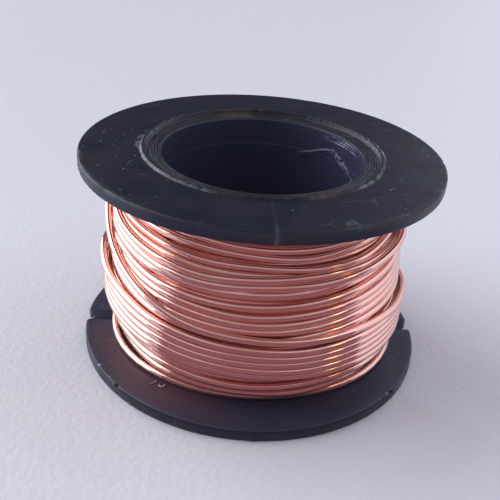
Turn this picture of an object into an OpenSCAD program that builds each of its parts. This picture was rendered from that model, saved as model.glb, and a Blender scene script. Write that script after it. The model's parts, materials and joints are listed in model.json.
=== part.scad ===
// Reel of bare copper wire: round wire in layers on a moulded plastic spool.
// Frame: the axis of the bore is +Z, the origin is the centre of the lower face,
// and +X runs out through one of the threading slots in the lower flange.

/* [Spool] */
// Diameter of both flanges
flange_d = 40; // [38:0.5:60]
// Height from the lower face to the upper face
spool_h = 24; // [14:0.5:50]
// Thickness of the upper flange
top_flange_t = 1.3; // [0.8:0.1:3]
// Thickness of the lower flange
bottom_flange_t = 1.4; // [0.8:0.1:3]
// Radius of the edges round both rims
rim_edge_r = 0.2; // [0.05:0.05:0.35]
// Outer diameter of the hub, which carries the wire
hub_d = 26.6; // [24.5:0.1:28.5]
// Diameter of the bore
bore_d = 22.2; // [10:0.1:23.5]

/* [Upper mouth of the bore] */
// Width of the raised lip, whose outside is in line with the hub's
lip_w = 0.6; // [0.2:0.05:1]
// Height of the lip above the upper face
lip_h = 0.25; // [0.1:0.05:0.8]
// Depth of the flat ledge inside the lip, below the upper face
ledge_depth = 0.2; // [0.05:0.05:0.6]

/* [Lower mouth of the bore] */
// Width and height of the lead-in cone
lead_in = 0.5; // [0.2:0.05:0.8]

/* [Threading slots] */
// Number of slots in the lower flange
slot_count = 2; // [1:1:6]
// Width of a slot
slot_w = 2; // [1:0.1:4]
// Plastic left between a slot's round end and the hub
slot_hub_gap = 0.6; // [0.3:0.1:2]

/* [Winding] */
// Diameter of the wire
wire_d = 0.8; // [0.5:0.05:1.1]
// Number of layers that reach from flange to flange
full_layers = 3; // [1:1:3]
// Number of shorter layers wound over them
short_layers = 3; // [1:1:3]
// How much higher above the lower flange each short layer starts than the one under it
lower_step = 1.3; // [0.4:0.1:2]
// How much lower each of the two outermost layers stops than the one under it, as a
// share of the height between the flanges
upper_drop = 0.26; // [0.1:0.01:0.3]

/* [Hidden] */
// Facets of a full circle, and of the section of one turn of wire
$fn = 96;
turn_fn = 32;
// How far cutting tools reach past the faces that they cut
over = 1;

flange_r = flange_d / 2;
hub_r = hub_d / 2;
bore_r = bore_d / 2;
lip_inner_r = hub_r - lip_w;

// The wire fills the space between the flanges
winding_low = bottom_flange_t;
winding_high = spool_h - top_flange_t;
winding_h = winding_high - winding_low;
turns_per_layer = floor(winding_h / wire_d);
turn_pitch = (winding_h - wire_d) / (turns_per_layer - 1);
// Turns bed into the grooves of the layer below them
layer_rise = sqrt(pow(wire_d, 2) - pow(turn_pitch / 2, 2));
last_layer = full_layers + short_layers - 1;

function turn_z(turn) = winding_low + wire_d / 2 + turn * turn_pitch;
function layer_r(layer) = hub_r + wire_d / 2 + layer * layer_rise;

// How many steps below the upper flange, and above the lower one, a layer ends
function upper_steps(layer) = max(0, layer - max(last_layer - 2, full_layers - 1));
function lower_steps(layer) = max(0, layer - full_layers + 1);

// Lowest and highest turn of a layer, counted from the lower flange
function first_turn(layer) = ceil(lower_steps(layer) * lower_step / turn_pitch);
function last_turn(layer) = max(first_turn(layer),
    turns_per_layer - 1 - ceil(upper_steps(layer) * upper_drop * winding_h / turn_pitch));

// Half section of a flange of thickness t, from the bore out to its rounded rim
module flange_section(t) {
    rim_w = flange_r - bore_r;
    square([rim_w - rim_edge_r, t]);
    translate([0, rim_edge_r])
        square([rim_w, t - 2 * rim_edge_r]);
    for (z = [rim_edge_r, t - rim_edge_r])
        translate([rim_w - rim_edge_r, z])
            circle(rim_edge_r);
}

// Half section of what the lead-in cone takes off the lower edge of the bore
module lead_in_section() {
    polygon([
        [bore_r - over, -over],
        [bore_r + lead_in + over, -over],
        [bore_r - over, lead_in + over],
    ]);
}

// Half section of the whole spool, with the raised lip, the ledge and the lead-in
module spool_section() {
    difference() {
        union() {
            translate([bore_r, 0])
                square([hub_r - bore_r, spool_h]);
            translate([bore_r, 0])
                flange_section(bottom_flange_t);
            translate([bore_r, winding_high])
                flange_section(top_flange_t);
            translate([lip_inner_r, winding_high])
                square([lip_w, top_flange_t + lip_h]);
        }
        translate([bore_r - over, spool_h - ledge_depth])
            square([lip_inner_r - bore_r + over, ledge_depth + over]);
        lead_in_section();
    }
}

// Cutter for one slot: open at the rim, with a round end beside the hub
module slot_cutter() {
    end_r = hub_r + slot_hub_gap + slot_w / 2;
    cut_h = bottom_flange_t + 2 * over;
    translate([0, 0, -over]) {
        translate([end_r, 0, 0])
            cylinder(d = slot_w, h = cut_h);
        translate([end_r, -slot_w / 2, 0])
            cube([flange_r - end_r + over, slot_w, cut_h]);
    }
}

module spool() {
    color([0.13, 0.13, 0.15])
        difference() {
            rotate_extrude()
                spool_section();
            for (i = [0 : slot_count - 1])
                rotate([0, 0, i * 360 / slot_count])
                    slot_cutter();
        }
}

// One layer in the half section: solid out to the middle of its wire. The turns that
// no other layer covers stand out from it as a column of circles.
module layer_section(layer) {
    first = first_turn(layer);
    last = last_turn(layer);
    low = first == 0 ? winding_low : turn_z(first);
    high = last == turns_per_layer - 1 ? winding_high : turn_z(last);
    translate([hub_r, low])
        square([layer_r(layer) - hub_r, high - low]);
    for (turn = [first : last])
        if (layer == last_layer || turn < first_turn(layer + 1) || turn > last_turn(layer + 1))
            translate([layer_r(layer), turn_z(turn)])
                circle(d = wire_d, $fn = turn_fn);
}

// The whole winding, turned solid round the hub
module wire_winding() {
    color([0.80, 0.50, 0.38])
        rotate_extrude()
            for (layer = [full_layers - 1 : last_layer])
                layer_section(layer);
}

spool();
wire_winding();
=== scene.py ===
# %% [markdown]
# # A reel of bare copper wire
# A moulded black spool carries some eleven metres of 0.8 mm wire. This lesson dresses the
# measured model of it: the spool is spun from its section, and the wire is laid turn by turn
# by a loop that lets each turn settle on the ones under it.
# The measured model is the frame. It is loaded first, and nothing in it is moved.

# %% The frame
import json
import math

import bpy
from mathutils import Matrix, Vector, noise


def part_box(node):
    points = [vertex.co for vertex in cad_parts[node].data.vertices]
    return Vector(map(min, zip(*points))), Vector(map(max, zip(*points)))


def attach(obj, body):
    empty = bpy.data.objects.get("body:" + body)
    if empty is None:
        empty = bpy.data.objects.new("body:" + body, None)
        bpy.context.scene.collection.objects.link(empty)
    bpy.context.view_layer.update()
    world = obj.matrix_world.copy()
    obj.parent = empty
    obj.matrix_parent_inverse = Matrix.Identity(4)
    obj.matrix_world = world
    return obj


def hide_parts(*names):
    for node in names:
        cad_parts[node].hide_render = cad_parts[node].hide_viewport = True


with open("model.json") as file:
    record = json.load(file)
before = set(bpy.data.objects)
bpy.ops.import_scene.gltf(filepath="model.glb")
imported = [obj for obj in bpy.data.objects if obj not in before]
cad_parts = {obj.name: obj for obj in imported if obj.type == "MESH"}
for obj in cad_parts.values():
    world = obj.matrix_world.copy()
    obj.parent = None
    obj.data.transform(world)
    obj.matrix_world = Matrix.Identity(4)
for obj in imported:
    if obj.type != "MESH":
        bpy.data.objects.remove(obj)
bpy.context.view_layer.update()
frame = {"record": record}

# %% [markdown]
# ## Sizes
# Lengths are written in millimetres, as a maker would, and one factor turns them into
# Blender's metres. What the measured model knows, the script asks it for: the solids' boxes
# give the flanges and the room for the wire, and the record gives the bore. The other sizes
# lie inside those boxes, so they are written down here.

# %% Sizes
MM = 0.001
spool_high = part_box("spool")[1]
wire_low, wire_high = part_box("wire_winding")

flange_r = spool_high.x / MM
lip_top = spool_high.z / MM
winding_low = wire_low.z / MM
winding_high = wire_high.z / MM
bore_r = frame["record"]["mounts"][0]["dims"]["r_mm"]
lip_h = 0.25
face_top = lip_top - lip_h
hub_r = 13.3
rim_edge_r = 0.2
wire_d = 0.8
print(f"flange radius {flange_r:.2f}, bore radius {bore_r:.2f}")
print(f"wire between {winding_low:.2f} and {winding_high:.2f}")

# %% [markdown]
# ## The camera
# The camera stands a little above the reel and close to it, and leans over by four degrees,
# so the flanges are seen as tilted ellipses. Aiming with a quaternion and then turning about
# the camera's own axis keeps the lean apart from the aim.

# %% The camera
camera_at = Vector((-6.02, -76.50, 53.18)) * MM
camera_aim = Vector((-0.63, 0.0, 11.28)) * MM
camera_lean = 4.223
bpy.ops.object.camera_add(location=camera_at)
camera = bpy.context.object
camera.name = "camera"
aim = (camera_aim - camera_at).to_track_quat("-Z", "Y")
lean = Matrix.Rotation(math.radians(camera_lean), 4, "Z")
camera.matrix_world = Matrix.Translation(camera_at) @ aim.to_matrix().to_4x4() @ lean
camera.data.lens = 53.255
camera.data.sensor_width = 36.0
camera.data.clip_start = 0.001
camera.data.clip_end = 20.0
bpy.context.scene.camera = camera
bpy.context.scene.view_settings.view_transform = "Standard"
print("camera is", round((camera_aim - camera_at).length / MM, 1), "mm from its aim")

# %% [markdown]
# ## Helpers for node trees
# A material is a small machine of nodes. One helper adds a node with its settings and input
# values, and another wires two sockets. The rest build on them: a ramp that turns a measure
# into a mask, a noise, a blend of two colours, a bump, and a new material to put them in.

# %% Helpers for node trees
def add_node(tree, kind, values=None, **settings):
    made = tree.nodes.new(kind)
    for key, value in settings.items():
        setattr(made, key, value)
    for key, value in (values or {}).items():
        made.inputs[key].default_value = value
    return made


def wire_up(tree, out_socket, in_socket):
    tree.links.new(out_socket, in_socket)


def ramp_node(tree, source, low, high, to_low=0.0, to_high=1.0):
    made = add_node(
        tree,
        "ShaderNodeMapRange",
        {"From Min": low, "From Max": high, "To Min": to_low, "To Max": to_high},
        interpolation_type="SMOOTHSTEP",
    )
    wire_up(tree, source, made.inputs["Value"])
    return made.outputs["Result"]


def noise_node(tree, coords, scale, detail, roughness=0.5, dimensions="3D"):
    made = add_node(
        tree,
        "ShaderNodeTexNoise",
        {"Scale": scale, "Detail": detail, "Roughness": roughness},
        noise_dimensions=dimensions,
    )
    wire_up(tree, coords, made.inputs["Vector"])
    return made


def blend_colours(tree, factor, first, second):
    # Inputs 0, 6 and 7 of a colour mix are its factor and its two colours
    made = add_node(tree, "ShaderNodeMix", data_type="RGBA")
    for index, value in ((0, factor), (6, first), (7, second)):
        if hasattr(value, "is_output"):
            wire_up(tree, value, made.inputs[index])
        else:
            made.inputs[index].default_value = value
    return made.outputs[2]


def add_bump(tree, shader, height, strength, distance):
    bump = add_node(tree, "ShaderNodeBump", {"Strength": strength, "Distance": distance})
    wire_up(tree, height, bump.inputs["Height"])
    wire_up(tree, bump.outputs[0], shader.inputs["Normal"])


def new_material(name):
    made = bpy.data.materials.new(name)
    made.use_nodes = True
    tree = made.node_tree
    tree.nodes.clear()
    shader = add_node(tree, "ShaderNodeBsdfPrincipled")
    output = add_node(tree, "ShaderNodeOutputMaterial")
    wire_up(tree, shader.outputs[0], output.inputs["Surface"])
    return made, tree, shader


# %% [markdown]
# ## Floor
# The reel stands on a plain pale sheet of paper with a fine grain. A sheet far larger than
# the view shows no edge, and it takes the soft shadow of the reel. Its grain is too fine to
# model, so it is a bump. An operator acts on whatever is selected, and loading the frame
# leaves its solids selected, so everything is deselected before a new shape is made.

# %% Floor
FLOOR_COLOUR = (0.755, 0.785, 0.835, 1)
FLOOR_SHADE = (0.7437, 0.7732, 0.8225, 1)


def deselect_everything():
    if bpy.context.object and bpy.context.object.mode != "OBJECT":
        bpy.ops.object.mode_set(mode="OBJECT")
    bpy.ops.object.select_all(action="DESELECT")


def floor_material():
    made, tree, shader = new_material("pale_sheet")
    coords = add_node(tree, "ShaderNodeTexCoord").outputs["Object"]
    cloudy = noise_node(tree, coords, 6.0, 2.0).outputs["Fac"]
    tone = ramp_node(tree, cloudy, 0.3, 0.7)
    colour = blend_colours(tree, tone, FLOOR_SHADE, FLOOR_COLOUR)
    wire_up(tree, colour, shader.inputs["Base Color"])
    grain = noise_node(tree, coords, 1300.0, 3.0).outputs["Fac"]
    add_bump(tree, shader, grain, 0.45, 0.0002)
    shader.inputs["Roughness"].default_value = 0.45
    shader.inputs["Specular IOR Level"].default_value = 0.4
    return made


deselect_everything()
bpy.ops.mesh.primitive_plane_add(size=12.0, location=(0, 0, 0))
floor = bpy.context.object
floor.name = "floor_sheet"
floor.data.materials.append(floor_material())
print("floor", floor.dimensions.x, "m wide")

# %% [markdown]
# ## Light
# Bright wire shows whatever stands round it, so the light is built as a small room. A tall
# window on the left gives the wire its white side, with a sharp upright edge, and throws the
# shadow to the right. A paler wall fills the right, with a small warm lamp beside it. Each is
# a rectangle of light that stands upright and faces the reel.

# %% Window, wall and lamp
PANEL_DISTANCE = 2.0
# Each panel: name, azimuth in degrees, lower edge, upper edge and width in metres,
# brightness, colour
PANELS = [
    ("window_left", 158, 0.05, 3.2, 3.2, 2.6, (0.96, 0.97, 1.0)),
    ("wall_right", 30, 0.05, 3.2, 3.6, 0.74, (0.85, 0.88, 1.0)),
    ("lamp_warm", -20, 1.7, 2.5, 0.34, 3.2, (1.0, 0.85, 0.28)),
]


def add_panel(name, azimuth, low, high, width, brightness, colour):
    a = math.radians(azimuth)
    out = Vector((math.cos(a), math.sin(a), 0.0))
    middle = out * PANEL_DISTANCE + Vector((0, 0, (low + high) / 2))
    bpy.ops.object.light_add(type="AREA", location=middle)
    panel = bpy.context.object
    panel.name = name
    panel.rotation_euler = (-out).to_track_quat("-Z", "Y").to_euler()
    panel.data.shape = "RECTANGLE"
    panel.data.size = width
    panel.data.size_y = high - low
    panel.data.color = colour
    panel.data.energy = brightness * math.pi * width * (high - low)


for panel_facts in PANELS:
    add_panel(*panel_facts)

# %% [markdown]
# A glowing card stands close in front, with a foot that lies on the sheet. It is no lamp: it
# glows with a fixed dim warm colour, and only reflections see it, so it paints a dark warm
# reflection on the front of the wire, as a person's hands would. It casts no shadow and lights
# nothing else. It starts as an open cylinder. Its lower edge is extruded inwards to make the
# foot, and all of it but the stretch in front is deleted. How far apart two directions are is
# taken the short way round.

# %% The glowing card that paints a reflection
# Colour of the glow that paints a dim warm reflection on the wire
PAINTED_REFLECTION_COLOUR = (0.215, 0.088, 0.122, 1)
CARD_LIFT = 0.2 * MM


def apart(a, b):
    return (a - b + 180) % 360 - 180


def glowing_reflection_card(radius, height, foot, middle, half_angle):
    deselect_everything()
    bpy.ops.mesh.primitive_cylinder_add(
        vertices=72,
        radius=radius,
        depth=height,
        end_fill_type="NOTHING",
        location=(0, 0, height / 2),
    )
    sheet = bpy.context.object
    sheet.name = "glowing_reflection_card"
    bpy.ops.object.transform_apply(location=True)
    bpy.ops.object.mode_set(mode="EDIT")
    bpy.ops.mesh.select_all(action="DESELECT")
    bpy.ops.object.mode_set(mode="OBJECT")
    for vertex in sheet.data.vertices:
        vertex.select = vertex.co.z < height / 2
    bpy.ops.object.mode_set(mode="EDIT")
    bpy.ops.mesh.extrude_region_move()
    bpy.ops.transform.resize(value=(foot / radius, foot / radius, 1), center_override=(0, 0, 0))
    bpy.ops.mesh.select_all(action="SELECT")
    bpy.ops.transform.translate(value=(0, 0, CARD_LIFT))
    bpy.ops.mesh.select_all(action="DESELECT")
    bpy.ops.object.mode_set(mode="OBJECT")
    for face in sheet.data.polygons:
        angle = math.degrees(math.atan2(face.center.y, face.center.x))
        face.select = abs(apart(angle, middle)) > half_angle
    bpy.ops.object.mode_set(mode="EDIT")
    bpy.ops.mesh.select_mode(type="FACE")
    bpy.ops.mesh.delete(type="FACE")
    bpy.ops.mesh.select_mode(type="VERT")
    bpy.ops.object.mode_set(mode="OBJECT")
    sheet.visible_camera = False
    sheet.visible_diffuse = False
    sheet.visible_shadow = False
    return sheet


def glowing_material(name, colour):
    made, _, shader = new_material(name)
    shader.inputs["Base Color"].default_value = (0, 0, 0, 1)
    shader.inputs["Emission Color"].default_value = colour
    shader.inputs["Emission Strength"].default_value = 1.0
    return made


# The card glows only to paint a reflection on the wire; it is no lamp
card = glowing_reflection_card(radius=31 * MM, height=18.5 * MM, foot=20.8 * MM, middle=-88.5, half_angle=52)
card.data.materials.append(glowing_material("glowing_reflection_card", PAINTED_REFLECTION_COLOUR))
print("card of", len(card.data.polygons), "faces")

# %% [markdown]
# The rest of the room is the colour of the world. It is dark behind the reel and dim and warm
# in front of it, and the pale ceiling is bluer on both sides and a little darker in front.
# The direction in which a ray leaves tells which part it meets, and one more helper does the
# sums.

# %% The room
def math_node(tree, operation, first, second=None):
    made = add_node(tree, "ShaderNodeMath", operation=operation)
    for index, value in enumerate((first, second)):
        if value is None:
            continue
        if isinstance(value, (int, float)):
            made.inputs[index].default_value = value
        else:
            wire_up(tree, value, made.inputs[index])
    return made.outputs[0]


def room_world():
    world = bpy.data.worlds.new("room")
    bpy.context.scene.world = world
    world.use_nodes = True
    tree = world.node_tree
    tree.nodes.clear()
    coords = add_node(tree, "ShaderNodeTexCoord")
    split = add_node(tree, "ShaderNodeSeparateXYZ")
    wire_up(tree, coords.outputs["Generated"], split.inputs[0])
    x, y, z = split.outputs
    aside = ramp_node(tree, math_node(tree, "ABSOLUTE", x), 0.15, 0.45)
    ceiling = blend_colours(tree, aside, (0.50, 0.42, 0.50, 1), (0.78, 0.84, 0.98, 1))
    darker = blend_colours(tree, 0.22, ceiling, (0, 0, 0, 1))
    ceiling = blend_colours(tree, ramp_node(tree, y, 0.35, -0.35), ceiling, darker)
    back = ramp_node(tree, y, 0.15, 0.8)
    colour = blend_colours(tree, back, (0.42, 0.34, 0.40, 1), (0.11, 0.11, 0.15, 1))
    colour = blend_colours(tree, ramp_node(tree, z, 0.6, 0.8), colour, ceiling)
    background = add_node(tree, "ShaderNodeBackground")
    output = add_node(tree, "ShaderNodeOutputWorld")
    wire_up(tree, colour, background.inputs["Color"])
    wire_up(tree, background.outputs[0], output.inputs["Surface"])
    return world


print("world", room_world().name)

# %% [markdown]
# ## Shared effects
# Both the moulded spool and the wire carry marks that run round the axis. One group turns a
# place on the piece into its radius and height with only a slow change round the axis, so
# that a noise read there comes out as fine rings without a seam.

# %% Shared effect: marks that run round the axis
def group_tree(name, inputs):
    tree = bpy.data.node_groups.new(name, "ShaderNodeTree")
    tree.interface.new_socket("Vector", in_out="INPUT", socket_type="NodeSocketVector")
    for label in inputs:
        tree.interface.new_socket(label, in_out="INPUT", socket_type="NodeSocketFloat")
    tree.interface.new_socket("Mask", in_out="OUTPUT", socket_type="NodeSocketFloat")
    return tree, tree.nodes.new("NodeGroupInput"), tree.nodes.new("NodeGroupOutput")


def place_group(tree, group, coords, **values):
    made = add_node(tree, "ShaderNodeGroup", values, node_tree=group)
    wire_up(tree, coords, made.inputs["Vector"])
    return made.outputs["Mask"]


def product(tree, first, *others):
    for other in others:
        first = math_node(tree, "MULTIPLY", first, other)
    return first


def split_place(tree, place):
    split = add_node(tree, "ShaderNodeSeparateXYZ")
    wire_up(tree, place, split.inputs[0])
    x, y, z = split.outputs
    squares = math_node(tree, "ADD", product(tree, x, x), product(tree, y, y))
    return x, y, z, math_node(tree, "SQRT", squares)


def ring_marks_group():
    tree, enter, leave = group_tree("RingMarks", ("Fineness", "Turns"))
    fineness, turns = enter.outputs["Fineness"], enter.outputs["Turns"]
    x, y, z, radius = split_place(tree, enter.outputs["Vector"])
    place = add_node(tree, "ShaderNodeCombineXYZ")
    wire_up(tree, product(tree, radius, fineness), place.inputs[0])
    wire_up(tree, product(tree, z, fineness), place.inputs[1])
    wire_up(tree, product(tree, math_node(tree, "DIVIDE", x, radius), turns), place.inputs[2])
    marks = noise_node(tree, place.outputs[0], 1.0, 3.0, dimensions="4D")
    wire_up(tree, product(tree, math_node(tree, "DIVIDE", y, radius), turns), marks.inputs["W"])
    wire_up(tree, marks.outputs["Fac"], leave.inputs["Mask"])
    return tree


ring_marks = ring_marks_group()
print("group", ring_marks.name)

# %% [markdown]
# Handling leaves hairlines that run every way. They are the borders between the cells of a
# Voronoi pattern, bent by a slow noise so that none is straight, and a second noise lets only
# a few of them show.

# %% Shared effect: fine scratches
SCRATCH_BEND = 0.006


def scratches_group():
    tree, enter, leave = group_tree("FineScratches", ("Scale", "Width"))
    vector = enter.outputs["Vector"]
    bend = noise_node(tree, vector, 120.0, 1.0)
    shift = add_node(tree, "ShaderNodeVectorMath", operation="MULTIPLY_ADD")
    wire_up(tree, bend.outputs["Color"], shift.inputs[0])
    shift.inputs[1].default_value = (SCRATCH_BEND, SCRATCH_BEND, SCRATCH_BEND)
    wire_up(tree, vector, shift.inputs[2])
    cells = add_node(tree, "ShaderNodeTexVoronoi", feature="DISTANCE_TO_EDGE")
    wire_up(tree, shift.outputs[0], cells.inputs["Vector"])
    wire_up(tree, enter.outputs["Scale"], cells.inputs["Scale"])
    line = math_node(tree, "LESS_THAN", cells.outputs["Distance"], enter.outputs["Width"])
    patches = noise_node(tree, vector, 420.0, 2.0).outputs["Fac"]
    shown = ramp_node(tree, patches, 0.60, 0.66)
    wire_up(tree, product(tree, line, shown), leave.inputs["Mask"])
    return tree


fine_scratches = scratches_group()
print("group", fine_scratches.name)

# %% [markdown]
# ## Black plastic
# The spool is moulded in black plastic with a satin skin. It is one material, but light and
# shade are painted into its colour from place to place: the rims are painted lighter where
# they catch the light, and the upper face is darker; the bore and the slots are painted lighter
# and bluer than their shade; the ledge round the mouth gets painted shade; and the lower flange
# beside the wire and the underside of the upper flange carry a painted warm reflection of the
# wire, which throws its own light on them. A place is told by its radius and height, and a
# mask that ramps up over a tenth of a millimetre keeps its border soft.

# %% Black plastic: painted light and shade from place to place
def band(tree, source, rise, fall):
    return product(tree, ramp_node(tree, source, *rise), ramp_node(tree, source, *fall))


def painted_light_and_shade(tree, colour, x, y, z, radius):
    # Limits are radii and heights in metres, as Object coordinates are
    on_rim = ramp_node(tree, radius, 0.0197, 0.0199)
    on_face = ramp_node(tree, z, 0.02385, 0.02395)
    in_bore = ramp_node(tree, radius, 0.0114, 0.0112)
    on_ledge = band(tree, radius, (0.0112, 0.01125), (0.01275, 0.01265))
    outside = ramp_node(tree, radius, 0.01315, 0.0133)
    shelf = product(tree, band(tree, z, (0.0012, 0.00139), (0.0030, 0.0025)), outside)
    front_left = product(
        tree,
        ramp_node(tree, x, 0.002, -0.010),
        ramp_node(tree, y, 0.004, -0.006),
        ramp_node(tree, radius, 0.0201, 0.0172, 0.25, 1.0),
    )
    # Painted reflection of the copper on the lower flange beside the wire, warmest at the front
    # left
    shelf_painted_reflection = blend_colours(tree, front_left, (0.034, 0.039, 0.070, 1), (0.084, 0.047, 0.064, 1))
    in_slot = product(
        tree,
        ramp_node(tree, math_node(tree, "ABSOLUTE", y), 0.00145, 0.00138),
        ramp_node(tree, z, 0.00139, 0.00136),
        ramp_node(tree, radius, 0.0136, 0.0138),
    )
    roof = product(tree, band(tree, z, (0.0220, 0.0226), (0.02285, 0.02272)), outside)
    # Painted light and shade: lighter rims, a darker upper face, a lit-up bore, painted shade on
    # the ledge, the painted copper reflection on the lower flange, lit-up slot walls and a painted
    # copper reflection under the upper flange
    painted_tones = [
        (on_rim, (0.018, 0.022, 0.042, 1)),
        (on_face, (0.0045, 0.006, 0.017, 1)),
        (in_bore, (0.037, 0.044, 0.082, 1)),
        (on_ledge, (0.004, 0.005, 0.011, 1)),
        (shelf, shelf_painted_reflection),
        (in_slot, (0.080, 0.080, 0.125, 1)),
        (roof, (0.12, 0.05, 0.055, 1)),
    ]
    for mask, tone in painted_tones:
        colour = blend_colours(tree, mask, colour, tone)
    return colour


# %% [markdown]
# Dust lies on the skin as single specks, more of them towards the two sides. Each speck is
# the middle of a Voronoi cell, and a noise decides which cells have one.

# %% Black plastic: dust
def dusty_colour(tree, colour, coords, x):
    cells = add_node(tree, "ShaderNodeTexVoronoi", {"Scale": 1500.0})
    wire_up(tree, coords, cells.inputs["Vector"])
    specks = math_node(tree, "LESS_THAN", cells.outputs["Distance"], 0.16)
    rare = noise_node(tree, coords, 900.0, 2.0).outputs["Fac"]
    sideways = ramp_node(tree, math_node(tree, "ABSOLUTE", x), 0.006, 0.016)
    crowd = math_node(tree, "ADD", product(tree, sideways, 0.12), rare)
    dust = product(tree, specks, ramp_node(tree, crowd, 0.65, 0.72), 0.7)
    return blend_colours(tree, dust, colour, (0.20, 0.22, 0.27, 1))


# %% [markdown]
# The pale scuffs and painted highlights, and a painted warm sheen, have their own places on
# this one spool, so they aren't found by a pattern. The warm sheen is a painted reflected
# highlight on the lip and the ledge. They are read from two attributes, "pale" and "warm",
# which are written on the piece's vertices further down, and a fine noise breaks up the pale
# ones. Scuffed plastic is also duller. Faint rings, grain and scratches go into the bump.

# %% Black plastic
SKIN_DARK = (0.011, 0.014, 0.027, 1)
SKIN_LIGHT = (0.017, 0.020, 0.037, 1)
SCRATCH_COLOUR = (0.11, 0.11, 0.14, 1)
PAINTED_SHEEN_COLOUR = (0.075, 0.055, 0.045, 1)
SCUFF_AND_HIGHLIGHT_COLOUR = (0.56, 0.62, 0.74, 1)


def plastic_material():
    made, tree, shader = new_material("black_plastic")
    coords = add_node(tree, "ShaderNodeTexCoord").outputs["Object"]
    x, y, z, radius = split_place(tree, coords)
    blotches = noise_node(tree, coords, 260.0, 4.0).outputs["Fac"]
    colour = blend_colours(tree, ramp_node(tree, blotches, 0.35, 0.7), SKIN_DARK, SKIN_LIGHT)
    colour = painted_light_and_shade(tree, colour, x, y, z, radius)
    colour = dusty_colour(tree, colour, coords, x)
    scratched = place_group(tree, fine_scratches, coords, Scale=260.0, Width=0.012)
    colour = blend_colours(tree, product(tree, scratched, 0.35), colour, SCRATCH_COLOUR)
    # The warm attribute carries a painted sheen, a warm reflected highlight
    warm = add_node(tree, "ShaderNodeAttribute", attribute_name="warm").outputs["Fac"]
    colour = blend_colours(tree, product(tree, warm, 0.8), colour, PAINTED_SHEEN_COLOUR)
    # The pale attribute holds real scuffs and painted highlights both
    pale = add_node(tree, "ShaderNodeAttribute", attribute_name="pale").outputs["Fac"]
    torn = noise_node(tree, coords, 2400.0, 3.0).outputs["Fac"]
    scuff_and_highlight = product(tree, pale, ramp_node(tree, torn, 0.36, 0.56, 0.35, 1.0))
    colour = blend_colours(tree, scuff_and_highlight, colour, SCUFF_AND_HIGHLIGHT_COLOUR)
    wire_up(tree, colour, shader.inputs["Base Color"])

    rough = ramp_node(tree, blotches, 0.3, 0.7, 0.36, 0.50)
    rough = math_node(tree, "ADD", rough, product(tree, scuff_and_highlight, 0.3))
    wire_up(tree, rough, shader.inputs["Roughness"])
    grain = noise_node(tree, coords, 2600.0, 3.0).outputs["Fac"]
    rings = place_group(tree, ring_marks, coords, Fineness=2400.0, Turns=5.0)
    height = math_node(tree, "ADD", grain, product(tree, rings, 0.6))
    height = math_node(tree, "SUBTRACT", height, product(tree, scratched, 1.2))
    add_bump(tree, shader, height, 0.25, 0.00004)
    shader.inputs["Specular IOR Level"].default_value = 0.35
    return made


black_plastic = plastic_material()
print("made", black_plastic.name)

# %% [markdown]
# ## Copper
# Drawn wire is bright metal with fine lines along its length from the die, and patches that
# have begun to tarnish. The lines are the ring marks of the shared group, very fine, and they
# go into colour, roughness and bump. The rest is done by what the metal reflects.

# %% Copper
COPPER_PALE = (0.94, 0.60, 0.52, 1)
COPPER_TARNISHED = (0.92, 0.55, 0.47, 1)
COPPER_LINES = (0.82, 0.44, 0.36, 1)


def copper_material():
    made, tree, shader = new_material("bare_copper")
    coords = add_node(tree, "ShaderNodeTexCoord").outputs["Object"]
    tarnish = noise_node(tree, coords, 190.0, 5.0, roughness=0.6).outputs["Fac"]
    tone = ramp_node(tree, tarnish, 0.35, 0.7)
    colour = blend_colours(tree, tone, COPPER_PALE, COPPER_TARNISHED)
    drawn = place_group(tree, ring_marks, coords, Fineness=9000.0, Turns=14.0)
    lines = ramp_node(tree, drawn, 0.52, 0.72)
    colour = blend_colours(tree, product(tree, lines, 0.12), colour, COPPER_LINES)
    wire_up(tree, colour, shader.inputs["Base Color"])
    shader.inputs["Metallic"].default_value = 0.9
    rough = ramp_node(tree, tarnish, 0.3, 0.7, 0.05, 0.11)
    rough = math_node(tree, "ADD", rough, product(tree, lines, 0.08))
    wire_up(tree, rough, shader.inputs["Roughness"])
    add_bump(tree, shader, drawn, 0.04, 0.00002)
    return made


bare_copper = copper_material()
print("made", bare_copper.name)

# %% [markdown]
# ## The spool
# A spool is a turned shape: its half section, drawn once and spun about the axis, gives the
# bore, the lip, both flanges and the hub in one closed skin. The section is a chain of
# extrusions from one point. It has more points where marks come later: rows up the bore for
# a torn web and for machined streaks, and ridges on the ledge round its mouth.

# %% The spool's section
TEAR_ROWS_FROM = 19.3
TEAR_ROW_STEP = 0.12
STREAKS_FROM = 22.64
STREAK_PITCH = 0.3
RIDGES_FROM = 11.25
RIDGE_PITCH = 0.3


def arc(centre_r, centre_z, radius, start, end, steps):
    points = []
    for step in range(steps + 1):
        a = math.radians(start + (end - start) * step / steps)
        points.append((centre_r + radius * math.cos(a), centre_z + radius * math.sin(a)))
    return points


def bore_points():
    points = [(bore_r + 0.5, 0.0), (bore_r + 0.3, 0.15), (bore_r + 0.1, 0.38), (bore_r, 0.6)]
    points += [(bore_r, z) for z in (4.0, 9.0, 14.0, 18.0, 19.0)]
    points += [(bore_r, TEAR_ROWS_FROM + TEAR_ROW_STEP * i) for i in range(11)]
    points += [(bore_r + 0.05, TEAR_ROWS_FROM + TEAR_ROW_STEP * i) for i in range(11, 28)]
    points += [(bore_r + 0.05, STREAKS_FROM + STREAK_PITCH / 3 * i) for i in range(10)]
    return points + [(bore_r + 0.08, 23.62)]


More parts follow.
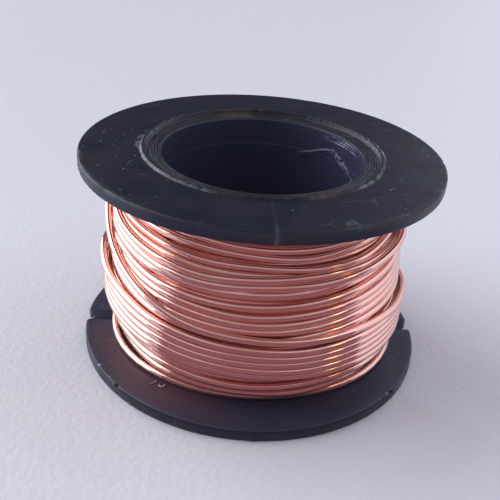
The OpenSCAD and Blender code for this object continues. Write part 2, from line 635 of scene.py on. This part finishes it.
def mouth_points():
    points = []
    for ridge in range(3):
        r = RIDGES_FROM + RIDGE_PITCH * ridge
        points += [(r, 23.68), (r + 0.1, 23.70), (r + 0.16, 23.72), (r + 0.22, 23.69)]
    points += [(12.12, 23.68), (12.2, 23.73), (12.26, 23.74), (12.34, 23.70), (12.55, 23.70)]
    points += [(12.62, 23.74), (12.68, 23.74), (12.76, 23.80)]
    points += [(12.86, 24.05), (12.95, 24.19), (13.05, 24.24), (13.15, lip_top), (13.27, 24.22)]
    points += [(13.36, 24.12), (13.46, face_top + 0.01), (13.6, face_top)]
    return points


def rim_points(low, high, between):
    rim_r = flange_r - rim_edge_r
    points = arc(rim_r, high - rim_edge_r, rim_edge_r, 90, 0, 4)
    points += [(flange_r, z) for z in between]
    return points + arc(rim_r, low + rim_edge_r, rim_edge_r, 0, -90, 4)


def spool_section():
    points = bore_points() + mouth_points()
    points += [(r, face_top) for r in (13.75, 13.9)]
    points += [(14.1 + 0.4 * i, face_top) for i in range(14)] + [(19.55, face_top)]
    points += rim_points(winding_high, face_top, (23.5, 23.2))
    points += [(r, winding_high) for r in (18.5, 16.5, hub_r)] + [(hub_r, winding_low)]
    points += [(r, winding_low) for r in (14.5, 16.0, 17.0, 18.0, 19.0, 19.5)]
    points += rim_points(0.0, winding_low, (1.0, 0.7, 0.4))
    return points + [(18.0, 0.0), (15.0, 0.0)]


section = spool_section()
print("section of", len(section), "points")

# %% Spinning the spool
SPIN_STEPS = 600


def spun_piece(name, points, steps):
    deselect_everything()
    here = points[0]
    bpy.ops.mesh.primitive_plane_add(size=MM, location=(0, 0, 0))
    piece = bpy.context.object
    piece.name = name
    bpy.ops.object.mode_set(mode="EDIT")
    bpy.ops.mesh.select_all(action="SELECT")
    bpy.ops.mesh.merge(type="CENTER")
    bpy.ops.transform.translate(value=(here[0] * MM, 0, here[1] * MM))
    for there in points[1:] + points[:1]:
        step = ((there[0] - here[0]) * MM, 0, (there[1] - here[1]) * MM)
        bpy.ops.mesh.extrude_region_move(TRANSFORM_OT_translate={"value": step})
        here = there
    bpy.ops.mesh.select_all(action="SELECT")
    bpy.ops.mesh.spin(steps=steps, angle=math.tau, center=(0, 0, 0), axis=(0, 0, 1))
    bpy.ops.mesh.select_all(action="SELECT")
    bpy.ops.mesh.remove_doubles(threshold=2e-6)
    bpy.ops.mesh.normals_make_consistent(inside=False)
    bpy.ops.object.mode_set(mode="OBJECT")
    return piece


spool = spun_piece("spool_body", section, SPIN_STEPS)
print("spool faces", len(spool.data.polygons))

# %% [markdown]
# ## The threading slots
# The wire's ends are threaded through two slots in the lower flange. Each is cut with a
# round-ended bar: a cylinder whose outer half is pulled past the rim. Near the rim it is
# bisected a few times, so that its mouth can flare as the moulded corners do.

# %% The threading slots
SLOT_HALF_WIDTH = 1.0
SLOT_HUB_GAP = 0.6
SLOT_CUTTER_HEIGHT = 3.0
# The mouth flares from this distance outwards: where it starts and is cut into rows, how
# fast it grows, and its limit
MOUTH_FROM = 19.52
MOUTH_ROWS = (MOUTH_FROM, 19.66, 19.78, 19.88, 19.98)
MOUTH_GROWTH = 1.9
MOUTH_MOST = 0.40


def slot_cutter(side):
    deselect_everything()
    end_r = (hub_r + SLOT_HUB_GAP + SLOT_HALF_WIDTH) * MM
    bpy.ops.mesh.primitive_cylinder_add(
        vertices=48,
        radius=SLOT_HALF_WIDTH * MM,
        depth=SLOT_CUTTER_HEIGHT * MM,
        location=(end_r, 0, winding_low / 2 * MM),
    )
    cutter = bpy.context.object
    bpy.ops.object.transform_apply(location=True)
    for vertex in cutter.data.vertices:
        if vertex.co.x > end_r + 1e-6:
            vertex.co.x += (flange_r - hub_r) * MM
    bpy.ops.object.mode_set(mode="EDIT")
    for x in MOUTH_ROWS:
        bpy.ops.mesh.select_all(action="SELECT")
        bpy.ops.mesh.bisect(plane_co=(x * MM, 0, 0), plane_no=(1, 0, 0))
    bpy.ops.object.mode_set(mode="OBJECT")
    for vertex in cutter.data.vertices:
        past = max(0.0, vertex.co.x / MM - MOUTH_FROM)
        vertex.co.y *= 1 + min(MOUTH_MOST, MOUTH_GROWTH * past * past)
    if side < 0:
        cutter.data.transform(Matrix.Rotation(math.pi, 4, "Z"))
    return cutter


def pick(piece):
    deselect_everything()
    piece.select_set(True)
    bpy.context.view_layer.objects.active = piece


def cut_away(piece, cutter):
    pick(piece)
    cut = piece.modifiers.new("slot", "BOOLEAN")
    cut.operation = "DIFFERENCE"
    cut.solver = "EXACT"
    cut.object = cutter
    bpy.ops.object.modifier_apply(modifier=cut.name)
    bpy.data.objects.remove(cutter)


for side in (1, -1):
    cut_away(spool, slot_cutter(side))
print("spool faces after cutting", len(spool.data.polygons))

# %% [markdown]
# ## Knocks in the rims
# The rims have small nicks, and a nib of plastic stands out where the mould was filled. Such
# marks are moved into the skin itself: each has a place, a width and a depth, and every
# vertex near it moves a little, by a hill that falls off smoothly from 1 in its middle to 0.
# A depth below zero stands out.

# %% Knocks in the rims
# Each nick: angle in degrees, height, half width along the rim, half height, depth
RIM_NICKS = [
    (-171.0, 23.8, 0.35, 0.25, 0.14),
    (-4.0, 23.9, 0.30, 0.20, 0.08),
    (70.0, 23.6, 0.50, 0.40, 0.15),
    (-138.0, 1.25, 0.16, 0.15, 0.30),
    (-40.8, 1.25, 0.18, 0.18, 0.26),
    (-20.0, 1.2, 0.15, 0.20, 0.10),
    (-90.7, 0.50, 0.20, 0.30, -0.26),
    (118.0, 0.8, 0.50, 0.40, 0.16),
]


def soft_hill(distance, width):
    t = abs(distance) / width
    return (1 - t * t) ** 2 if t < 1 else 0.0


def along_rim(angle, place):
    return math.radians(apart(angle, place)) * flange_r


def nick_depth(angle, height):
    depth = 0.0
    for place, level, half_width, half_height, deep in RIM_NICKS:
        sideways = soft_hill(along_rim(angle, place), 2 * half_width)
        depth += deep * sideways * soft_hill(height - level, 2 * half_height)
    return depth


print("depth in the middle of a nick", round(nick_depth(-138.0, 1.25), 2))

# %% [markdown]
# ## The torn web
# A thin web inside the bore was torn off, and its ragged flap stands out of the wall below a
# crooked edge. The edge is a chain of places. Below it the wall comes out steeply and falls
# back slowly, with a noise for the raggedness, and a shallow pit lies beside its peak.

# %% The torn web
# The upper edge of the tear: angle in degrees and height, from left to right
TEAR_EDGE = [
    (62, 20.2), (55, 20.6), (45, 21.4), (36, 21.8), (31, 21.3), (25, 20.9), (18, 20.1), (12, 19.6),
]
FLAP_REACH = 1.1
FLAP_EDGE = 0.12


def below_tear(angle, height):
    for (a1, z1), (a0, z0) in zip(TEAR_EDGE, TEAR_EDGE[1:]):
        if a0 <= angle < a1:
            return z0 + (z1 - z0) * (angle - a0) / (a1 - a0) - height
    return -1.0


def torn_web(angle, height):
    below = below_tear(angle, height)
    if below < 0 or below > FLAP_REACH:
        return 0.0
    rough = noise.noise(Vector((angle * 0.5, height * 3.0, 3.0)))
    flap = min(1.0, below / FLAP_EDGE) * (1 - below / FLAP_REACH) * (0.13 + 0.12 * rough)
    pit = 0.25 * soft_hill((angle - 28) * 0.19, 0.5) * soft_hill(height - 20.8, 0.4)
    return flap - pit


print("flap under the peak of the tear", round(torn_web(40, 21.2), 2))

# %% [markdown]
# ## Scuffs and painted highlights
# Worn and torn plastic is pale, in stretches along the lip and in small chips on the rims. On
# the lip the pale is partly scuff and partly painted highlight, where the lip catches the
# light, and the stretches along the outer edge of the upper face are painted highlights. A few
# spots get a painted warm sheen, a reflected highlight. Each stretch is an arc with a radius
# and a width. A noise along the arc makes it ragged, so that it comes and goes as a real scuff
# does.

# %% Scuffs, painted highlights and painted sheen
# Each stretch: angle of its middle, half its length in degrees, radius, half its width,
# strength
PALE_STRETCHES = [
    # On the lip the pale is partly scuff and partly painted highlight where the lip catches the
    # light
    (-163, 30, 13.38, 0.11, 0.65),
    (-130, 22, 13.42, 0.09, 0.20),
    (-38, 15, 13.38, 0.12, 0.55),
    (5, 16, 13.40, 0.11, 1.4),
    (5, 26, 12.90, 0.08, 0.30),
    (42, 32, 13.46, 0.09, 1.7),
    (132, 26, 13.36, 0.11, 0.85),
    (176, 17, 13.70, 0.26, 0.28),
    (165, 34, 12.90, 0.08, 0.30),
    # These three are painted highlights along the outer edge of the upper face
    (-59, 15, 19.80, 0.30, 0.12),
    (-68, 3, 18.90, 0.50, 0.16),
    (-150, 30, 19.85, 0.25, 0.16),
]
# Each stretch of painted warm sheen, a reflected highlight, with the same columns
PAINTED_SHEEN_STRETCHES = [
    (-67, 10, 13.35, 0.2, 0.8),
    (103, 12, 12.3, 0.8, 0.8),
    (-60, 30, 12.0, 0.9, 0.35),
]
# Each chip on a rim: angle, height, half its width, strength
PALE_CHIPS = [
    (-150, 1.4, 0.25, 0.8),
    (-143, 1.4, 0.2, 0.3),
    (-42.5, 1.4, 0.3, 0.45),
    (-20, 1.2, 0.25, 0.6),
]
# The two halves of the mould met at this angle and left a faint line
WELD_ANGLE = -89.3


def stretch_mask(stretches, angle, r):
    most = 0.0
    for middle, half_length, radius, half_width, strength in stretches:
        along = min(1.0, 1.8 * soft_hill(apart(angle, middle), half_length))
        most = max(most, strength * along * soft_hill(r - radius, 1.6 * half_width))
    return most


def ragged(angle, place, pace):
    rough = noise.noise(Vector((angle * pace, place * 2.0, 2.0)))
    return min(1.0, max(0.0, 0.55 + 1.3 * rough))


def weld_line(angle, half_width):
    return soft_hill(along_rim(angle, WELD_ANGLE), half_width)


print("scuff on the lip at 42 degrees", stretch_mask(PALE_STRETCHES, 42, 13.46))

# %% [markdown]
# How pale a vertex is depends on where it lies: on top, on a rim or inside the bore. Each of
# these has its own small function, which takes the vertex's place in degrees and millimetres.
# A vertex within 0.3 mm of a rim or of the bore's wall counts as part of it.

# %% How pale each place is
TOP_ZONE = 23.6
STREAK_ZONE = 22.6
WALL_ZONE = 0.3


def pale_on_top(angle, r):
    jitter = 0.05 * noise.noise(Vector((angle * 1.4, 4.0, 6.0)))
    torn = ragged(angle, r, 0.22) * (0.4 + 0.6 * ragged(angle, r, 0.9))
    pale = min(1.0, 1.3 * torn) * stretch_mask(PALE_STRETCHES, angle, r + jitter)
    # The ridge crests round the mouth get a painted highlight, stronger towards the two sides,
    # where the window and the wall light them
    if r < 12.8:
        aside = abs(math.cos(math.radians(angle)))
        ridge = soft_hill((r - RIDGES_FROM) % RIDGE_PITCH - 0.16, 0.07)
        pale = max(pale, 0.18 * ragged(angle, r, 0.1) * aside * ridge)
    if r > 13.6:
        strength = 0.07 if r > 18.3 else 0.02
        pale = max(pale, strength * weld_line(angle, 0.3))
    return pale


def pale_on_rim(angle, z):
    pale = 0.10 * weld_line(angle, 0.35) if z > winding_high else 0.0
    for place, level, half_width, strength in PALE_CHIPS:
        sideways = soft_hill(along_rim(angle, place), half_width)
        pale = max(pale, strength * sideways * soft_hill(z - level, 0.2))
    return pale


def pale_in_bore(angle, z):
    pale = 0.0
    if z > STREAK_ZONE:
        streaks = soft_hill((z - STREAKS_FROM) % STREAK_PITCH - 0.1, 0.09)
        pale = 1.1 * streaks * ragged(angle, z, 0.12) * soft_hill(angle - 28, 24)
    below = below_tear(angle, z)
    if -0.05 < below < 1.2:
        fade = min(1.0, (64 - angle) / 14)
        line = 0.24 * soft_hill(below - 0.05, 0.14) * fade * ragged(angle, z, 0.5)
        patch = soft_hill(below - 0.35, 0.75) * soft_hill(angle - 29, 13)
        crumbs = max(0.0, 0.10 + 1.6 * noise.noise(Vector((angle * 1.3, z * 7.0, 4.0))))
        pale = max(pale, line, patch * crumbs)
    return min(1.0, pale)


def paleness(angle, r, z):
    if z > TOP_ZONE:
        return pale_on_top(angle, r)
    if r > flange_r - WALL_ZONE:
        return pale_on_rim(angle, z)
    if r < bore_r + WALL_ZONE:
        return pale_in_bore(angle, z)
    return 0.0


print("paleness on the lip", [round(paleness(a, 13.4, 24.1), 2) for a in (-163, -130, -38, 5, 42)])

# %% [markdown]
# ## Weathering the spool and painting its highlights
# One pass over the vertices does it all. It writes how pale and how warm each is into two
# attributes, which the plastic reads: the pale holds scuffs and painted highlights, the warm a
# painted sheen. It also moves those vertices that a nick, the torn web or a chip out of the lip
# takes in or out. The attributes are written from the unmoved places, so that marks and moves
# stay together.

# %% Weathering the spool and painting its highlights
NICK_ZONE = 0.5
WEB_LOW, WEB_HIGH = 19.0, 22.6
LIP_INNER, LIP_OUTER, LIP_FOOT = 12.7, 13.5, 23.85


def mark_points(piece, name, values):
    marks = piece.data.attributes.new(name, "FLOAT", "POINT")
    marks.data.foreach_set("value", values)


def weathered(angle, r, z):
    new_r = r
    if r > flange_r - NICK_ZONE:
        new_r -= nick_depth(angle, z)
    if r < bore_r + 0.1 and WEB_LOW < z < WEB_HIGH:
        new_r -= torn_web(angle, z)
    if LIP_INNER < r < LIP_OUTER and z > LIP_FOOT:
        chips = noise.noise(Vector((angle * 0.35, r * 0.5, 5.0)))
        fine = noise.noise(Vector((angle * 1.3, r * 2.0, 9.0)))
        drop = max(0.0, chips - 0.1) * 0.18 + max(0.0, fine) * 0.05
        z -= drop * min(1.0, (z - LIP_FOOT) / 0.3)
        new_r += 0.03 * fine
    return new_r, z


def weather_and_paint_highlights(piece):
    pale = []
    warm = []
    for vertex in piece.data.vertices:
        x, y, z = (v / MM for v in vertex.co)
        r = math.hypot(x, y)
        angle = math.degrees(math.atan2(y, x))
        pale.append(paleness(angle, r, z))
        warm.append(stretch_mask(PAINTED_SHEEN_STRETCHES, angle, r) if z > TOP_ZONE else 0.0)
        new_r, new_z = weathered(angle, r, z)
        vertex.co = Vector((x * new_r / r, y * new_r / r, new_z)) * MM
    mark_points(piece, "pale", pale)
    mark_points(piece, "warm", warm)
    print("pale points", sum(v > 0.1 for v in pale), "warm points", sum(v > 0.1 for v in warm))


def finish_surface(piece, material, angle):
    pick(piece)
    piece.data.materials.clear()
    piece.data.materials.append(material)
    bpy.ops.object.shade_smooth_by_angle(angle=math.radians(angle))
    triangles = sum(len(p.vertices) - 2 for p in piece.data.polygons)
    print(piece.name, "triangles", triangles)


weather_and_paint_highlights(spool)
finish_surface(spool, black_plastic, 35)

# %% [markdown]
# ## Shavings
# A few curled shavings of plastic still lie on the lower flange, left from cleaning the
# moulding. Each is a hair-thin tube that starts at a place, heads off and bends as it goes.
# The shortest way to a tube that follows a path is a curve with a round bevel, which is then
# turned into a mesh. The same helper draws the wire further down. Torn plastic is pale all
# over, so every vertex gets the full mark.

# %% Shavings
# Each shaving: where it starts, its length, its heading in degrees, its bend in degrees
SHAVINGS = [
    (-11.35, -13.05, 0.85, 15, 40),
    (-10.35, -13.10, 1.15, -90, 200),
    (-19.65, -1.05, 0.75, 0, 70),
]
SHAVING_R = 0.055
SHAVING_STEPS = 9


def tube_along(name, paths, tube_r, roundness, twist):
    deselect_everything()
    bpy.ops.curve.primitive_bezier_curve_add(location=(0, 0, 0))
    bpy.context.object.name = name
    drawing = bpy.context.object.data
    drawing.splines.clear()
    for path in paths:
        spline = drawing.splines.new("POLY")
        spline.points.add(len(path) - 1)
        for point, (x, y, z) in zip(spline.points, path):
            point.co = (x * MM, y * MM, z * MM, 1)
    drawing.dimensions = "3D"
    drawing.twist_mode = twist
    drawing.bevel_depth = tube_r * MM
    drawing.bevel_resolution = roundness
    drawing.use_fill_caps = True
    bpy.ops.object.convert(target="MESH")
    return bpy.context.object


def shaving_path(x, y, length, heading, bend):
    path = []
    stride = length / SHAVING_STEPS
    for step in range(SHAVING_STEPS + 1):
        path.append((x, y, winding_low + 0.05 + 0.01 * step))
        a = math.radians(heading + bend * step / SHAVING_STEPS)
        x += stride * math.cos(a)
        y += stride * math.sin(a)
    return path


paths = [shaving_path(*facts) for facts in SHAVINGS]
shavings = tube_along("shavings", paths, SHAVING_R, 1, "MINIMUM")
mark_points(shavings, "pale", [1.0] * len(shavings.data.vertices))
finish_surface(shavings, black_plastic, 50)

# %% [markdown]
# ## How the wire runs
# One length of wire is wound on by hand, up and down the hub in layers. The path is worked
# out turn by turn. A turn's height is given at nine places round its front, and runs over
# smoothly to the next turn at the back. The inner layers are neat, so their heights follow
# from the wire's own spacing. The outer ones are loose and cross each other, so their heights
# are listed one by one.

# %% Heights of the turns
FRONT = -94.5
PLACES = (-85, -60, -40, -20, 0, 20, 40, 60, 85)
NEAT_PITCH = 0.889


def neat_turns(first, last, count):
    return [[first + (last - first) * i / max(1, count - 1)] * len(PLACES) for i in range(count)]


low_turn = winding_low + wire_d / 2
high_turn = winding_high - wire_d / 2
layer_one = neat_turns(high_turn, low_turn, 24)
layer_two = neat_turns(low_turn + NEAT_PITCH / 2, high_turn - NEAT_PITCH / 2, 23)
layer_three = neat_turns(high_turn, low_turn + NEAT_PITCH, 23) + [
    [2.1, 1.9, 1.9, 1.8, 1.8, 1.8, 1.8, 2.0, 2.3],
]
layer_four = [
    [3.3, 3.1, 2.9, 2.8, 2.8, 2.6, 2.7, 2.9, 3.2],
    [4.1, 3.9, 3.7, 3.6, 3.6, 3.4, 3.5, 3.8, 4.0],
    [4.9, 4.7, 4.5, 4.4, 4.4, 4.3, 4.4, 4.6, 4.8],
] + neat_turns(5.6, 13.7, 11) + [
    [15.6, 15.1, 14.8, 14.5, 14.4, 14.5, 14.7, 14.7, 14.7],
    [16.4, 15.9, 15.6, 15.3, 15.2, 15.3, 15.4, 15.5, 15.5],
    [17.3, 16.7, 16.4, 16.1, 16.0, 16.1, 16.2, 16.3, 16.4],
    [18.2, 17.5, 17.2, 16.9, 16.9, 16.9, 17.0, 17.2, 17.4],
    [19.2, 18.6, 18.2, 17.8, 17.8, 17.6, 17.6, 18.1, 18.4],
    [20.3, 19.7, 19.5, 19.3, 19.0, 18.7, 19.2, 19.6, 19.8],
    [21.2, 20.7, 20.5, 20.2, 19.8, 19.7, 20.0, 20.4, 20.6],
    [22.0, 21.6, 21.4, 21.2, 21.0, 20.9, 21.2, 21.4, 21.4],
    [22.3, 22.3, 22.3, 22.2, 22.2, 22.2, 22.3, 22.3, 22.3],
]
layer_five = [
    [18.4, 17.5, 16.8, 16.4, 16.7, 17.0, 17.1, 17.2, 17.1],
    [17.6, 16.8, 16.1, 15.8, 16.0, 16.3, 16.8, 17.5, 18.0],
    [16.9, 16.1, 15.4, 15.0, 15.3, 15.6, 15.9, 16.1, 16.0],
    [15.7, 14.8, 13.9, 13.6, 13.6, 13.8, 14.1, 14.5, 15.0],
    [14.9, 14.0, 13.1, 12.7, 12.4, 12.6, 12.9, 13.2, 13.5],
    [14.0, 13.2, 12.3, 11.9, 11.6, 11.7, 12.1, 12.4, 12.7],
    [13.1, 12.4, 11.5, 11.1, 10.9, 11.0, 11.3, 11.6, 11.9],
    [12.1, 11.4, 10.6, 10.1, 9.8, 10.1, 10.4, 10.6, 10.8],
    [10.3, 9.9, 9.5, 9.1, 9.0, 9.0, 9.0, 9.0, 9.1],
    [9.4, 9.1, 8.7, 8.3, 8.2, 8.2, 8.2, 8.2, 8.3],
    [8.6, 8.3, 7.9, 7.5, 7.4, 7.4, 7.4, 7.4, 7.5],
    [7.8, 7.5, 7.1, 6.7, 6.6, 6.6, 6.6, 6.6, 6.7],
    [7.0, 6.7, 6.3, 5.9, 5.8, 5.8, 5.8, 5.8, 5.9],
    [6.2, 5.9, 5.5, 5.1, 5.0, 5.0, 5.0, 5.0, 5.1],
    [5.4, 5.1, 4.6, 4.3, 4.1, 4.2, 4.3, 4.4, 4.4],
]
layer_six = [
    [8.4, 7.3, 6.7, 6.3, 6.1, 5.9, 5.8, 5.7, 5.8],
    [9.2, 8.1, 7.4, 7.0, 6.8, 6.6, 6.6, 6.6, 6.7],
    [10.1, 9.0, 8.2, 7.8, 7.6, 7.4, 7.4, 7.5, 7.6],
    [11.0, 9.8, 9.1, 8.6, 8.4, 8.1, 8.2, 8.3, 8.4],
    [12.0, 10.7, 9.9, 9.5, 9.2, 8.9, 9.0, 9.1, 9.2],
    [18.2, 14.1, 12.1, 10.9, 10.4, 10.1, 9.9, 9.8, 9.9],
]
layers = [layer_one, layer_two, layer_three, layer_four, layer_five, layer_six]
all_turns = [turn for layer in layers for turn in layer]
print("turns", len(all_turns))

# %% [markdown]
# The written heights become one smooth line. It passes through every one of them, from left
# to right through a turn's nine places and across the back to the next turn, with a slope at
# each that points from its neighbour before to its neighbour after. The wire's end climbs
# away a little after the last of them.

# %% The line through the heights
# Points worked out round each turn
STATIONS = 120


def height_knots(turns):
    knots = []
    for number, heights in enumerate(turns):
        placed = list(zip(PLACES, heights))
        knots += [(360 * number + 180 - place, z) for place, z in reversed(placed)]
    first, last = knots[0], knots[-1]
    return [(0.0, first[1]), *knots, (last[0] + 25, last[1] + 2.0), (last[0] + 95, last[1] + 3.5)]


def turn_heights(turns):
    knots = height_knots(turns)
    slopes = []
    for i in range(len(knots)):
        before, after = knots[max(0, i - 1)], knots[min(len(knots) - 1, i + 1)]
        slopes.append((after[1] - before[1]) / (after[0] - before[0]))
    heights = []
    i = 0
    for station in range(STATIONS * len(turns)):
        a = station * 360 / STATIONS
        while i < len(knots) - 2 and a > knots[i + 1][0]:
            i += 1
        (a0, z0), (a1, z1) = knots[i], knots[i + 1]
        span = a1 - a0
        t = (a - a0) / span
        shape = (2 * t**3 - 3 * t**2 + 1) * z0 + (3 * t**2 - 2 * t**3) * z1
        lean_in = (t**3 - 2 * t**2 + t) * span * slopes[i] + (t**3 - t**2) * span * slopes[i + 1]
        heights.append(min(high_turn, max(low_turn, shape + lean_in)))
    return heights


heights = turn_heights(all_turns)
print("heights from", round(min(heights), 2), "to", round(max(heights), 2))

# %% [markdown]
# ## Slack turns
# A few turns of a hand-wound coil are slack and stand off the rest for a stretch. Each is
# named by counting through the layers. A hill eases it out to its radius and back in again.

# %% Slack turns
SLACK_FROM = 15.0
loose_turn = len(layer_one) + len(layer_two) + len(layer_three) - 1
high_outer_turn = loose_turn + len(layer_four) + 4
outer_turn = len(all_turns) - 2
# Slack turns: number of the turn, place round the front in degrees, half width, radius
SLACK = [
    (loose_turn, -85, 75, 16.5),
    (loose_turn, 90, 66, 16.8),
    (loose_turn + 1, 80, 50, 16.0),
    (outer_turn, -80, 42, 17.6),
    (high_outer_turn, -90, 34, 16.8),
]


def slack_radius(station):
    turn, part = divmod(station, STATIONS)
    place = 180 - part * 360 / STATIONS
    reach = 0.0
    for number, centre, half_width, radius in SLACK:
        if number == turn:
            extra = (radius - SLACK_FROM) * soft_hill(place - centre, half_width)
            reach = max(reach, SLACK_FROM + extra)
    return reach


print("slack turns", sorted({stretch[0] for stretch in SLACK}))

# %% [markdown]
# ## Letting the turns settle
# The path's radius isn't written down. Each point of a turn drops until it rests on the hub
# or on an earlier turn. Two round wires touch when their middles are a diameter apart. Both
# reaches are less than that 0.8 mm, so the turns run into each other a little. Real wire
# can't, but the winding looks closed this way. Copper is stiff, so a turn that climbs over
# another bridges it in a smooth hump.

# %% Letting the turns settle
STIFF = 3
SIDE_REACH = 0.7
OVER_REACH = 0.76
DEEPER_FROM = 11
DEEPER_SPAN = 3
DEEPER_SHARE = 0.14


def resting_radius(station, heights, settled):
    z = heights[station]
    upper = min(1.0, max(0.0, (z - DEEPER_FROM) / DEEPER_SPAN))
    over = OVER_REACH * (1 - DEEPER_SHARE * upper)
    r = hub_r + wire_d / 2
    for earlier in range(station - STATIONS, -1, -STATIONS):
        gap = abs(z - heights[earlier])
        if gap < SIDE_REACH:
            r = max(r, settled[earlier] + over * math.sqrt(1 - (gap / SIDE_REACH) ** 2))
    return max(r, slack_radius(station))


def settled_radii(heights):
    rest = [0.0] * len(heights)
    settled = []

    def widest(j):
        return max(rest[max(0, j - STIFF):j + STIFF + 1])

    def smoothed(i):
        near = range(i - STIFF, i + STIFF + 1)
        return sum(widest(min(j, len(heights) - 1)) for j in near) / len(near)

    for station in range(len(heights)):
        rest[station] = resting_radius(station, heights, settled)
        if station >= 2 * STIFF:
            settled.append(smoothed(station - 2 * STIFF))
    for station in range(len(settled), len(heights)):
        settled.append(smoothed(station))
    return settled


radii = settled_radii(heights)
starts = [0]
for layer in layers:
    starts.append(starts[-1] + len(layer) * STATIONS)
for number in range(len(layers)):
    part = radii[starts[number]:starts[number + 1]]
    print("layer", number + 1, "radius", round(min(part), 2), "to", round(max(part), 2))

# %% [markdown]
# ## Drawing the wire
# The tube is drawn a trifle fuller than the wire, by 0.015 mm all round, so that neighbours
# touch and no black slit is left between them. The wire is kept in three pieces, as one mesh
# would be too heavy: the hidden neat layers can do with a coarser tube than the turns that
# show. The wire's end stops a little short of its last turn, tucked in at the back.

# %% Drawing the wire
DRAWN_R = wire_d / 2 + 0.015
# The wire's end stops this many stations before its last turn is full
TAIL = 14


def wire_piece(name, first, last, stride, roundness):
    stations = list(range(first, last, stride))
    if stations[-1] != last - 1:
        stations.append(last - 1)
    path = []
    for station in stations:
        a = math.radians(FRONT + 180 - station * 360 / STATIONS)
        r = radii[station]
        path.append((r * math.cos(a), r * math.sin(a), heights[station]))
    piece = tube_along(name, [path], DRAWN_R, roundness, "Z_UP")
    finish_surface(piece, bare_copper, 50)
    return piece


inner_wire = wire_piece("wire_inner_layers", 0, starts[3] + 1, 2, 2)
middle_wire = wire_piece("wire_fourth_layer", starts[3], starts[4] + 1, 1, 6)
outer_wire = wire_piece("wire_outer_turns", starts[4], starts[6] - TAIL, 1, 6)

# %% [markdown]
# ## Attaching the pieces
# Every piece rides on the part's one body, and the solid of the measured model that it stands
# for is hidden.

# %% Attaching the pieces
for piece in (spool, shavings):
    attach(piece, "root")
    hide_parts("spool")
for piece in (inner_wire, middle_wire, outer_wire):
    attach(piece, "root")
    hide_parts("wire_winding")
